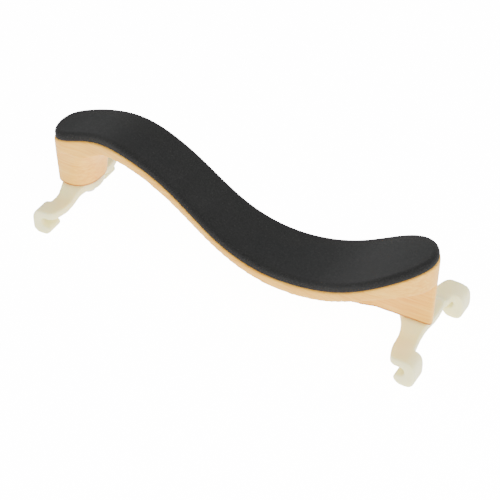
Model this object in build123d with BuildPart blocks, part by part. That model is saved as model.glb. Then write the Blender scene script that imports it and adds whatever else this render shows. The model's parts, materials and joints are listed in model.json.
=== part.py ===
"""Violin shoulder rest: S-shaped maple frame, foam pad and two swivelling claw forks.

Millimetres. +X runs along the rest and +Z is up, with the pad on top. The claws' throats face inwards.
The origin is on the plane of the claws' flat tips, near the middle of the rest.
"""
from build123d import *
import os

os.makedirs("parts", exist_ok=True)

# ---------------------------------------------------------------- driving dimensions
left_screw_x = -96.5
right_screw_x = 89.5
insert_pitch = 8.0  # from the right block's insert in use to its spare one
block_floor = 20.0  # underside of the end blocks

pad_thickness = 4.2
adhesive_thickness = 0.3
pad_inset = 0.6  # wood left bare around the pad
pad_edge_radius = 2.0

# The pad's top along the rest: place, middle, height and width, then the wood's thickness below.
stations = [
    (-87.0, -0.2, 55.7, 28.5, 6.5),
    (-61.0, -3.4, 60.1, 29.2, 4.6),
    (-33.0, -5.0, 51.1, 29.1, 4.4),
    (-3.0, -8.1, 36.3, 30.9, 3.7),
    (27.0, -9.4, 30.9, 34.4, 4.6),
    (55.0, -8.7, 35.9, 38.8, 5.2),
    (81.0, -10.2, 50.7, 40.5, 6.0),
]
left_tip = (-108.3, -1.2)
right_tip = (101.7, -13.0)
left_shoulder = (-101.5, -14.9, 10.4)  # place, front edge and back edge
right_shoulder = (95.5, -23.7, 2.0)

left_end = (-113.0, 51.0, 7.0)  # top and wood carried on past the tips
right_end = (107.0, 62.2, 14.5)

# Left block at rising levels: level, inner end, half-width and corner rounding.
left_levels = [
    (block_floor, -88.3, 12.8, 10.4),
    (30.0, -86.6, 13.2, 10.4),
    (39.0, -82.0, 14.4, 10.8),
    (46.0, -74.0, 16.0, 11.0),
    (53.0, -58.0, 19.0, 12.0),
]
left_outer = -110.6  # beyond the block's outer side, which the plan trims
right_foot_inner = 75.0  # inner end of the right block's flat foot
right_wedge = (45.0, 25.0)  # where the right block's slope leaves the plate
right_front = [(45.0, -24.0), (63.0, -16.5), (75.0, -12.0), (107.0, -10.0)]
right_block_back = 10.0

fork_clearance = 0.3  # between a block's floor and its fork
fork_thickness = 4.2
fork_droop = 5.5  # from a fork's middle down to the top of its claws
flat_half_width = 6.0  # level part of the fork, each side of the screw
droop_end = 19.0  # where the arms are level again
claw_start = 21.0  # nearer side of a claw, from the screw's line
arm_end = 31.0
# Plan of one arm, from the fork's own middle.
inner_edge = [
    (-11.3, 0),
    (-10.3, 5),
    (-7.0, 10),
    (-5.2, 14.5),
    (-4.8, 18),
    (-4.2, 24),
    (-2.8, 28.5),
    (-0.2, arm_end),
]
outer_edge = [(4.9, claw_start), (4.8, 16), (5.6, 9), (6.5, 0)]
claw_tip = (2.9, 7.9)  # ends of a claw's flat tip, outwards of the fork's own middle
claw_back = (10.2, 6.5)
claw_crest = 4.2  # where the claw's round back meets its level top
throat_mouth = 2.9
throat_end = 5.4
lip_top = 5.2
lip_end = (0.2, 3.2)
toe_left = 5.0  # degrees that each fork is swivelled, seen from above
toe_right = 1.0
slide_left = 3.5  # each fork's own middle, outwards of its screw
slide_right = 4.5

bush_square = 6.4
bush_flange = 10.0
bush_flange_thickness = 1.2
slot_ends = (-9.5, 0.0)  # from the fork's own middle
slide_gap = 0.1  # between a fork and its slot bush

screw_radius = 1.95
screw_length = 16.0
head_radius = 3.8
head_height = 2.2
head_rounding = 1.2
hex_across_flats = 2.5
hex_depth = 1.3
washer_thickness = 1.0
washer_inner_radius = 2.15
washer_outer_radius = 3.6
washer_cut = 0.8
washer_gap = 0.05  # between the lock washer and its neighbours

insert_bore = 2.0
insert_radius = 3.0
insert_flange_radius = 3.8
insert_flange_thickness = 0.8
insert_length = 8.0
insert_hole_depth = 10.0

# ---------------------------------------------------------------- derived sizes
insert_places = {"left": [(left_screw_x, 0)], "right": [(right_screw_x, 0), (right_screw_x - insert_pitch, 0)]}
wood_top = (pad_thickness + adhesive_thickness, 0)  # depths as a drop and a share of the wood
wood_bottom = (pad_thickness + adhesive_thickness, 1)
fork_top = block_floor - fork_clearance
fork_floor = fork_top - fork_thickness
claw_top = fork_top - fork_droop
claw_underside = claw_top - fork_thickness
bush_floor = fork_floor - slide_gap - bush_flange_thickness
washer_top = bush_floor - washer_gap
washer_floor = washer_top - washer_thickness
head_top = washer_floor - washer_gap
reach = 60.0  # half-width of extrusions that are trimmed afterwards
under_pad = (pad_thickness + adhesive_thickness, 0.4)  # inside the plate, where the blocks end
below_all = (reach, 0)


def save(part, name):
    """Label a finished piece and write its STEP file."""
    part.label = name
    export_step(part, f"parts/{name}.step")


# ---------------------------------------------------------------- shapes shared by the wood and the pad
def curve_points(drop, wood_share):
    """Points of the S-curve seen from the front: a drop under the pad's top, and a share of the wood."""
    inner = [(x, z - drop - wood_share * wood) for x, y, z, width, wood in stations]
    first = (left_end[0], left_end[1] - drop - wood_share * left_end[2])
    last = (right_end[0], right_end[1] - drop - wood_share * right_end[2])
    return [first, *inner, last]


def plan_outline(inset):
    """Rounded outline of the rest seen from above, shrunk by an inset."""
    front = [(x, y - width / 2 + inset) for x, y, z, width, wood in stations]
    back = [(x, y + width / 2 - inset) for x, y, z, width, wood in reversed(stations)]
    corner = 0.7 * inset
    left_x, left_front, left_back = left_shoulder[0] + corner, *left_shoulder[1:]
    right_x, right_front_y, right_back = right_shoulder[0] - corner, *right_shoulder[1:]
    around_left = [
        (left_x, left_back - corner),
        (left_tip[0] + inset, left_tip[1]),
        (left_x, left_front + corner),
    ]
    around_right = [
        (right_x, right_front_y + corner),
        (right_tip[0] - inset, right_tip[1]),
        (right_x, right_back - corner),
    ]
    with BuildSketch(Plane.XY) as outline:
        with BuildLine():
            Spline(*around_left, *front, *around_right, *back, periodic=True)
        make_face()
    return outline.sketch


def curved_band(top, bottom):
    """Wide band between two depths of the S-curve, each a drop and a share of the wood."""
    with BuildPart() as band:
        with BuildSketch(Plane.XZ.offset(-reach)):
            with BuildLine():
                upper = Spline(*curve_points(*top))
                lower = Spline(*curve_points(*bottom))
                Line(upper @ 0, lower @ 0)
                Line(upper @ 1, lower @ 1)
            make_face()
        extrude(amount=2 * reach)
    return band.part


def curved_slab(top, bottom, inset):
    """Band trimmed to the outline of the rest."""
    with BuildPart() as slab:
        add(curved_band(top, bottom))
        extrude(plan_outline(inset), amount=2 * reach, mode=Mode.INTERSECT)
    return slab.part


# ---------------------------------------------------------------- maple frame
with BuildPart() as left_block:
    for level, inner_end, half_width, rounding in left_levels:
        with BuildSketch(Plane.XY.offset(level)):
            with Locations(((inner_end + left_outer) / 2, 0)):
                RectangleRounded(inner_end - left_outer, 2 * half_width, rounding)
    loft()
    add(curved_band(under_pad, below_all), mode=Mode.INTERSECT)

with BuildPart() as right_block:
    with BuildSketch(Plane.XZ.offset(-reach)):
        with BuildLine():
            slope = Spline(right_wedge, (right_foot_inner, block_floor), tangents=[(1, -0.15), (1, 0)])
            Polyline(
                slope @ 1,
                (right_end[0], block_floor),
                (right_end[0], right_end[1]),
                (right_wedge[0], right_end[1]),
                right_wedge,
            )
        make_face()
    extrude(amount=2 * reach)
    with BuildSketch(Plane.XY):
        with BuildLine():
            Polyline(
                *right_front,
                (right_end[0], right_block_back),
                (right_wedge[0], right_block_back),
                close=True,
            )
        make_face()
    extrude(amount=2 * reach, mode=Mode.INTERSECT)
    add(curved_band(under_pad, below_all), mode=Mode.INTERSECT)

with BuildPart() as maple_frame:
    add(curved_slab(wood_top, wood_bottom, 0))
    add(left_block.part)
    add(right_block.part)
    extrude(plan_outline(0), amount=2 * reach, mode=Mode.INTERSECT)
    with BuildSketch(Plane.XY.offset(block_floor)):
        with Locations(*insert_places["left"], *insert_places["right"]):
            Circle(insert_radius)
    extrude(amount=insert_hole_depth, mode=Mode.SUBTRACT)
    with BuildSketch(Plane.XY.offset(block_floor)):
        with Locations(*insert_places["left"], *insert_places["right"]):
            Circle(insert_flange_radius)
    extrude(amount=insert_flange_thickness, mode=Mode.SUBTRACT)
save(maple_frame.part, "maple_frame")

# ---------------------------------------------------------------- foam pad and its adhesive sheet
with BuildPart() as foam_pad:
    add(curved_slab((0, 0), (pad_thickness, 0), pad_inset))
    pad_top = foam_pad.faces().filter_by(lambda face: face.normal_at().Z > 0.5)
    fillet(pad_top[0].edges(), radius=pad_edge_radius)
save(foam_pad.part, "foam_pad")

with BuildPart() as pad_adhesive:
    add(curved_slab((pad_thickness, 0), wood_top, 2 * pad_inset))
save(pad_adhesive.part, "pad_adhesive")

# ---------------------------------------------------------------- claw fork, about its own middle
with BuildPart() as claw:
    # A C that opens towards the middle of the rest, with a flat tip at the bottom.
    with BuildSketch(Plane.XZ.offset(-claw_start)):
        with BuildLine():
            back = Spline((claw_tip[1], 0), claw_back, (claw_crest, claw_top), tangents=[(1, 0.5), (-1, 0.05)])
            Polyline(back @ 1, (0, claw_top), (0, claw_underside), (throat_mouth, claw_underside))
            throat = ThreePointArc(
                (throat_mouth, claw_underside),
                (throat_end, (claw_underside + lip_top) / 2),
                (throat_mouth, lip_top),
            )
            lip = Spline(throat @ 1, lip_end, (claw_tip[0], 0), tangents=[(-1, 0), (1, -0.6)])
            Line(lip @ 1, back @ 0)
        make_face()
    extrude(amount=claw_start - arm_end)

with BuildPart() as fork:
    # Arched strip: its side view across the rest, then its plan.
    with BuildSketch(Plane.YZ):
        with BuildLine():
            level = Line((0, fork_top), (flat_half_width, fork_top))
            fall = Spline(level @ 1, (droop_end, claw_top), tangents=[(1, 0), (1, 0)])
            Polyline(fall @ 1, (arm_end, claw_top), (arm_end, claw_underside), (droop_end, claw_underside))
            rise = Spline(
                (droop_end, claw_underside),
                (flat_half_width, fork_floor),
                tangents=[(-1, 0), (-1, 0)],
            )
            Polyline(rise @ 1, (0, fork_floor), (0, fork_top))
        make_face()
        mirror(about=Plane.YZ)
    extrude(amount=reach, both=True)
    with BuildSketch(Plane.XY):
        with BuildLine():
            Spline(*inner_edge, tangents=[(0, 1), (1, 0.5)])
            Polyline(inner_edge[-1], (claw_crest, arm_end), (claw_crest, claw_start), outer_edge[0])
            Spline(*outer_edge, tangents=[(0.3, -1), (0, -1)])
            Line(outer_edge[-1], inner_edge[0])
        make_face()
        mirror(about=Plane.XZ)
    extrude(amount=reach, mode=Mode.INTERSECT)
    add(claw.part)
    add(mirror(claw.part, about=Plane.XZ))
    # Slot for the bush.
    with BuildSketch(Plane.XY.offset(fork_floor)):
        with Locations(((slot_ends[0] + slot_ends[1]) / 2, 0)):
            Rectangle(slot_ends[1] - slot_ends[0], bush_square + 2 * slide_gap)
    extrude(amount=fork_thickness, mode=Mode.SUBTRACT)

# ---------------------------------------------------------------- hardware of one clamp, about its screw
with BuildPart() as bush:
    with BuildSketch(Plane.XY.offset(bush_floor)):
        Rectangle(bush_flange, bush_flange)
    extrude(amount=bush_flange_thickness)
    fillet(bush.edges().filter_by(Axis.Z), radius=1.5)
    with BuildSketch(Plane.XY.offset(bush_floor)):
        RectangleRounded(bush_square, bush_square, 0.4)
    extrude(amount=fork_top - bush_floor)
    with BuildSketch(Plane.XY.offset(bush_floor)):
        Circle(washer_inner_radius)
    extrude(amount=fork_top - bush_floor, mode=Mode.SUBTRACT)

with BuildPart() as lock_washer:
    with BuildSketch(Plane.XY.offset(washer_floor)):
        Circle(washer_outer_radius)
        Circle(washer_inner_radius, mode=Mode.SUBTRACT)
        with Locations(Location((washer_outer_radius, 0), 0)):
            Rectangle(2 * washer_outer_radius, washer_cut, mode=Mode.SUBTRACT)
    extrude(amount=washer_thickness)

with BuildPart() as clamp_screw:
    with BuildSketch(Plane.XY.offset(head_top)):
        Circle(head_radius)
    extrude(amount=-head_height)
    fillet(clamp_screw.edges().group_by(Axis.Z)[0], radius=head_rounding)
    with BuildSketch(Plane.XY.offset(head_top)):
        Circle(screw_radius)
    extrude(amount=screw_length)
    chamfer(clamp_screw.edges().group_by(Axis.Z)[-1], length=0.5)
    with BuildSketch(Plane.XY.offset(head_top - head_height)):
        RegularPolygon(hex_across_flats / 2, 6, major_radius=False)
    extrude(amount=hex_depth, mode=Mode.SUBTRACT)

for name, middle, toe, slide in (
    ("left", left_screw_x, 180 + toe_left, slide_left),
    ("right", right_screw_x, toe_right, slide_right),
):
    place = Location((middle, 0, 0), (0, 0, toe))
    save(place * Location((slide, 0, 0)) * fork.part, f"{name}_fork")
    save(place * bush.part, f"{name}_slot_bush")
    save(place * lock_washer.part, f"{name}_lock_washer")
    save(place * clamp_screw.part, f"{name}_clamp_screw")

# ---------------------------------------------------------------- threaded inserts
for name, places in insert_places.items():
    with BuildPart() as inserts:
        with BuildSketch(Plane.XY.offset(block_floor)):
            with Locations(*places):
                Circle(insert_flange_radius)
        extrude(amount=insert_flange_thickness)
        with BuildSketch(Plane.XY.offset(block_floor)):
            with Locations(*places):
                Circle(insert_radius)
        extrude(amount=insert_length)
        with BuildSketch(Plane.XY.offset(block_floor)):
            with Locations(*places):
                Circle(insert_bore)
        extrude(amount=insert_length, mode=Mode.SUBTRACT)
    save(inserts.part, f"{name}_inserts")
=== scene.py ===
import json
import math

import bpy
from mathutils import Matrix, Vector


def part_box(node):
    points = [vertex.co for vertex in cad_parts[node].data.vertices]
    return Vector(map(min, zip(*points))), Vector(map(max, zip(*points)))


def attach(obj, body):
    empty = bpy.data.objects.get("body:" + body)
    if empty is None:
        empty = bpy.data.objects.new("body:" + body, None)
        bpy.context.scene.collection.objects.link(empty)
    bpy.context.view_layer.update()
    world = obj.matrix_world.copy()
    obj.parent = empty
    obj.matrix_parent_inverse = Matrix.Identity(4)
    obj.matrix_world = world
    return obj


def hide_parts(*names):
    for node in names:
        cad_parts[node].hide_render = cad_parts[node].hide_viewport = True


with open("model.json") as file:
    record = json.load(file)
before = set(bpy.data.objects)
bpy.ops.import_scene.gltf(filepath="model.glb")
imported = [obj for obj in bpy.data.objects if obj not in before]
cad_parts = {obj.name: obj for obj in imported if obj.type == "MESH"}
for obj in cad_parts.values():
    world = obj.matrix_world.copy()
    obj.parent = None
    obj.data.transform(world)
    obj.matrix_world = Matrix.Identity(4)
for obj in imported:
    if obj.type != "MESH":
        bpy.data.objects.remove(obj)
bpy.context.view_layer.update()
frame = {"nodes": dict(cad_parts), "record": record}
nodes = frame["nodes"]


block_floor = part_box("left_inserts")[0][2]  # underside of the end blocks
shade_line_start = 0.0009  # heights above the block's floor where the painted shade line is darkest and where it ends
shade_line_end = 0.0018
underside_normal = -0.9  # faces that point further down than this are a block's underside
slot_half_width = 0.00335  # in a moulded fork, round the bush's neck
slot_end_room = 0.0001
cutter_height = 0.02


# ---------------------------------------------------------------- materials
def shader(name, color, roughness, **extra):
    """A principled material and its nodes, with plain numbers set straight on the sockets."""
    material = bpy.data.materials.new(name)
    material.use_nodes = True
    tree = material.node_tree
    surface = tree.nodes["Principled BSDF"]
    surface.inputs["Base Color"].default_value = (*color, 1)
    surface.inputs["Roughness"].default_value = roughness
    for socket, value in extra.items():
        surface.inputs[socket.replace("_", " ")].default_value = value
    return material, tree, surface


def coordinates(tree, stretch=(1, 1, 1)):
    """Object coordinates in metres, stretched."""
    place = tree.nodes.new("ShaderNodeTexCoord")
    mapping = tree.nodes.new("ShaderNodeMapping")
    mapping.inputs["Scale"].default_value = stretch
    tree.links.new(place.outputs["Object"], mapping.inputs["Vector"])
    return mapping.outputs["Vector"]


def noise(tree, vector, scale, detail=4.0, roughness=0.5, distortion=0.0):
    made = tree.nodes.new("ShaderNodeTexNoise")
    made.inputs["Scale"].default_value = scale
    made.inputs["Detail"].default_value = detail
    made.inputs["Roughness"].default_value = roughness
    made.inputs["Distortion"].default_value = distortion
    tree.links.new(vector, made.inputs["Vector"])
    return made.outputs["Fac"]


def ramp(tree, value, stops):
    """A colour ramp; stops are (place, colour)."""
    made = tree.nodes.new("ShaderNodeValToRGB")
    elements = made.color_ramp.elements
    while len(elements) < len(stops):
        elements.new(0.5)
    for element, (place, color) in zip(elements, stops):
        element.position = place
        element.color = (*color, 1)
    tree.links.new(value, made.inputs["Fac"])
    return made.outputs["Color"]


def mix(tree, amount, first, second, blend="MIX"):
    """Mixes two colours; amount is a number or a socket."""
    made = tree.nodes.new("ShaderNodeMix")
    made.data_type = "RGBA"
    made.blend_type = blend
    if isinstance(amount, float):
        made.inputs["Factor"].default_value = amount
    else:
        tree.links.new(amount, made.inputs["Factor"])
    tree.links.new(first, made.inputs["A"])
    tree.links.new(second, made.inputs["B"])
    return made.outputs["Result"]


def bump(tree, surface, height, strength, distance):
    made = tree.nodes.new("ShaderNodeBump")
    made.inputs["Strength"].default_value = strength
    made.inputs["Distance"].default_value = distance
    tree.links.new(height, made.inputs["Height"])
    tree.links.new(made.outputs["Normal"], surface.inputs["Normal"])


def painted_edge_shade(tree):
    """Painted shade: a brown line along the blocks' bottom edges, where the bottom chamfer lies in shade;
    left off their undersides.
    """
    split = tree.nodes.new("ShaderNodeSeparateXYZ")
    tree.links.new(coordinates(tree), split.inputs["Vector"])
    facing = tree.nodes.new("ShaderNodeSeparateXYZ")
    tree.links.new(tree.nodes.new("ShaderNodeNewGeometry").outputs["Normal"], facing.inputs["Vector"])
    sides = tree.nodes.new("ShaderNodeMath")
    sides.operation = "GREATER_THAN"
    sides.inputs[1].default_value = underside_normal
    tree.links.new(facing.outputs["Z"], sides.inputs[0])
    level = tree.nodes.new("ShaderNodeMapRange")
    level.inputs["From Min"].default_value = block_floor + shade_line_start
    level.inputs["From Max"].default_value = block_floor + shade_line_end
    tree.links.new(split.outputs["Z"], level.inputs["Value"])
    # brown of the painted shade line, fading to white higher up the block
    line = ramp(tree, level.outputs["Result"], [(0.0, (0.42, 0.27, 0.15)), (1.0, (1, 1, 1))])
    white = tree.nodes.new("ShaderNodeRGB")
    white.outputs["Color"].default_value = (1, 1, 1, 1)
    return mix(tree, sides.outputs["Value"], white.outputs["Color"], line)


def maple_material():
    """Pale maple: long grain, fine pores and a few small flecks under satin lacquer."""
    material, tree, surface = shader("maple", (0.8, 0.5, 0.2), 0.5, Coat_Weight=0.08, Coat_Roughness=0.3)
    surface.inputs["Specular IOR Level"].default_value = 0.22
    grain = noise(tree, coordinates(tree, (6, 60, 130)), 7.0, 5.0, 0.6, 0.6)
    clouds = noise(tree, coordinates(tree), 28.0, 2.0)
    flecks = noise(tree, coordinates(tree, (90, 300, 300)), 2.2, 3.0, 0.7)
    browns = [(0.3, (0.80, 0.36, 0.035)), (0.55, (0.92, 0.50, 0.07)), (0.75, (0.97, 0.59, 0.12))]
    wood = ramp(tree, grain, browns)
    tone = ramp(tree, clouds, [(0.3, (0.93, 0.90, 0.87)), (0.7, (1, 1, 1))])
    dots = ramp(tree, flecks, [(0.24, (0.74, 0.64, 0.55)), (0.31, (1, 1, 1))])
    toned = mix(tree, 1.0, wood, tone, "MULTIPLY")
    flecked = mix(tree, 0.6, toned, dots, "MULTIPLY")
    # multiplies in the painted shade line along the blocks' bottom edges
    tree.links.new(mix(tree, 1.0, flecked, painted_edge_shade(tree), "MULTIPLY"), surface.inputs["Base Color"])
    bump(tree, surface, grain, 0.12, 0.0002)
    return material


def foam_material():
    """Charcoal closed-cell foam: fine cells and pale specks, fully matte."""
    material, tree, surface = shader("foam", (0.03, 0.031, 0.033), 0.92)
    surface.inputs["Specular IOR Level"].default_value = 0.12
    surface.inputs["Sheen Weight"].default_value = 0.04
    surface.inputs["Sheen Roughness"].default_value = 0.6
    vector = coordinates(tree)
    cells = noise(tree, vector, 1500.0, 3.0, 0.7)
    wide = noise(tree, vector, 90.0, 3.0)
    greys = [(0.3, (0.0085, 0.0085, 0.0085)), (0.6, (0.016, 0.016, 0.0158)), (0.8, (0.04, 0.0395, 0.039))]
    dark = ramp(tree, cells, greys)
    tone = ramp(tree, wide, [(0.3, (0.86, 0.86, 0.86)), (0.7, (1, 1, 1))])
    tree.links.new(mix(tree, 1.0, dark, tone, "MULTIPLY"), surface.inputs["Base Color"])
    bump(tree, surface, cells, 0.35, 0.0002)
    return material


def polymer_material():
    """Ivory moulded polymer that lets some light in."""
    material, tree, surface = shader("ivory_polymer", (0.80, 0.77, 0.60), 0.34)
    surface.inputs["Subsurface Weight"].default_value = 0.7
    surface.inputs["Subsurface Radius"].default_value = (1.0, 0.9, 0.6)
    surface.inputs["Subsurface Scale"].default_value = 0.004
    surface.inputs["Coat Weight"].default_value = 0.06
    surface.inputs["Coat Roughness"].default_value = 0.3
    clouds = noise(tree, coordinates(tree), 60.0, 3.0)
    milk = ramp(tree, clouds, [(0.3, (0.80, 0.76, 0.40)), (0.7, (0.87, 0.83, 0.48))])
    tree.links.new(milk, surface.inputs["Base Color"])
    bump(tree, surface, noise(tree, coordinates(tree), 900.0, 2.0), 0.05, 0.0001)
    return material


def metal_material(name, color, roughness, stretch):
    """Turned or plated metal with fine tool marks."""
    material, tree, surface = shader(name, color, roughness, Metallic=1.0)
    marks = noise(tree, coordinates(tree, stretch), 400.0, 2.0)
    deep = tuple(0.82 * channel for channel in color)
    tree.links.new(ramp(tree, marks, [(0.3, deep), (0.7, color)]), surface.inputs["Base Color"])
    bump(tree, surface, marks, 0.08, 0.0001)
    return material


def glue_material():
    """Thin dark glue sheet between the foam and the wood."""
    material, tree, surface = shader("glue_sheet", (0.05, 0.045, 0.04), 0.6)
    mottled = noise(tree, coordinates(tree), 300.0, 2.0)
    brown = ramp(tree, mottled, [(0.3, (0.035, 0.03, 0.026)), (0.7, (0.06, 0.05, 0.042))])
    tree.links.new(brown, surface.inputs["Base Color"])
    return material


maple = maple_material()
foam = foam_material()
polymer = polymer_material()
brass = metal_material("turned_brass", (0.80, 0.62, 0.32), 0.32, (1, 1, 6))
steel = metal_material("plated_steel", (0.62, 0.63, 0.65), 0.3, (1, 1, 5))
glue = glue_material()
finishes = {"maple_frame": maple, "foam_pad": foam, "pad_adhesive": glue}
for side in ("left", "right"):
    finishes[f"{side}_fork"] = polymer
    finishes[f"{side}_slot_bush"] = brass
    finishes[f"{side}_inserts"] = brass
    finishes[f"{side}_lock_washer"] = steel
    finishes[f"{side}_clamp_screw"] = steel
for name, finish in finishes.items():
    nodes[name].data.materials.clear()
    nodes[name].data.materials.append(finish)


# ---------------------------------------------------------------- softened copies of CAD pieces
def slot_cutter(side):
    """Box round a slot bush's neck, long enough for the fork's slide."""
    joints = frame["record"]["behaviour"]["joints"]
    slide = next(joint for joint in joints if joint["name"] == f"{side}_fork_slide")
    inwards, outwards = slide["range_m"]
    axis = Vector(slide["axis"])
    start = -slot_half_width - outwards - slot_end_room
    end = slot_half_width - inwards + slot_end_room
    low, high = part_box(f"{side}_slot_bush")
    middle = (low + high) / 2 + axis * (start + end) / 2
    bpy.ops.mesh.primitive_cube_add(size=1, location=middle, rotation=(0, 0, math.atan2(axis.y, axis.x)))
    cutter = bpy.context.object
    cutter.scale = (end - start, 2 * slot_half_width, cutter_height)
    return cutter


def softened(node, name, body, voxel, rounds, cutter=None):
    """A copy of a CAD piece with its edges rounded by remeshing and smoothing, which replaces that piece."""
    copy = bpy.data.objects.new(name, nodes[node].data.copy())
    bpy.context.scene.collection.objects.link(copy)
    bpy.context.view_layer.objects.active = copy
    remesh = copy.modifiers.new("remesh", "REMESH")
    remesh.mode = "VOXEL"
    remesh.voxel_size = voxel
    remesh.use_smooth_shade = True
    smooth = copy.modifiers.new("smooth", "SMOOTH")
    smooth.factor = 0.5
    smooth.iterations = rounds
    if cutter:
        cut = copy.modifiers.new("cut", "BOOLEAN")
        cut.operation = "DIFFERENCE"
        cut.solver = "MANIFOLD"
        cut.object = cutter
    graph = bpy.context.evaluated_depsgraph_get()
    mesh = bpy.data.meshes.new_from_object(copy.evaluated_get(graph))
    copy.modifiers.clear()
    copy.data = mesh
    if cutter:
        bpy.data.objects.remove(cutter)
    mesh.materials.clear()
    mesh.materials.append(finishes[node])
    for face in mesh.polygons:
        face.use_smooth = True
    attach(copy, body)
    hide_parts(node)
    return copy


for side in ("left", "right"):
    cutter = slot_cutter(side)
    softened(f"{side}_fork", f"{side}_fork_moulded", f"{side}_claws", 0.0004, 26, cutter)
softened("maple_frame", "maple_frame_sanded", "frame", 0.00055, 14)
pad = softened("foam_pad", "foam_pad_soft", "frame", 0.00045, 5)

# ---------------------------------------------------------------- floor, light and camera
bpy.ops.mesh.primitive_plane_add(size=6, location=(0, 0, 0))
floor = bpy.context.object
floor.name = "floor"
pale, tree, surface = shader("pale_floor", (0.95, 0.95, 0.95), 0.9)
surface.inputs["Emission Color"].default_value = (1, 1, 1, 1)
seen = tree.nodes.new("ShaderNodeLightPath")
glow = tree.nodes.new("ShaderNodeMapRange")
glow.inputs["To Min"].default_value = 1.8
glow.inputs["To Max"].default_value = 14.0
tree.links.new(seen.outputs["Is Camera Ray"], glow.inputs["Value"])
tree.links.new(glow.outputs["Result"], surface.inputs["Emission Strength"])
floor.data.materials.append(pale)

world = bpy.data.worlds.new("studio")
bpy.context.scene.world = world
world.use_nodes = True
world.node_tree.nodes["Background"].inputs["Color"].default_value = (1, 1, 1, 1)
world.node_tree.nodes["Background"].inputs["Strength"].default_value = 0.9


def area_light(name, place, target, size, power):
    """A soft square light aimed at a point."""
    light = bpy.data.lights.new(name, "AREA")
    light.size = size
    light.energy = power
    lamp = bpy.data.objects.new(name, light)
    bpy.context.scene.collection.objects.link(lamp)
    lamp.location = place
    lamp.rotation_euler = (Vector(target) - Vector(place)).to_track_quat("-Z", "Y").to_euler()


area_light("key", (0.7, -0.4, 0.8), (0, 0, 0.03), 0.7, 12)
area_light("fill", (-0.7, -0.8, 0.2), (0, 0, 0.03), 0.8, 3)
area_light("rim", (0.1, 0.9, 0.7), (0, 0, 0.03), 0.8, 2)

# The camera's numbers come from a fit to the photograph's outlines.
azimuth = math.radians(32.3)
elevation = math.radians(39.2)
distance = 0.5827
aim = Vector((0.0017, 0, 0.0128))
away = Vector((
    math.sin(azimuth) * math.cos(elevation),
    -math.cos(azimuth) * math.cos(elevation),
    math.sin(elevation),
))
lens = bpy.data.cameras.new("camera")
lens.lens = 87.33
lens.sensor_width = 36
lens.clip_start = 0.01
camera = bpy.data.objects.new("camera", lens)
bpy.context.scene.collection.objects.link(camera)
camera.location = aim + distance * away
camera.rotation_euler = (-away).to_track_quat("-Z", "Y").to_euler()
bpy.context.scene.camera = camera
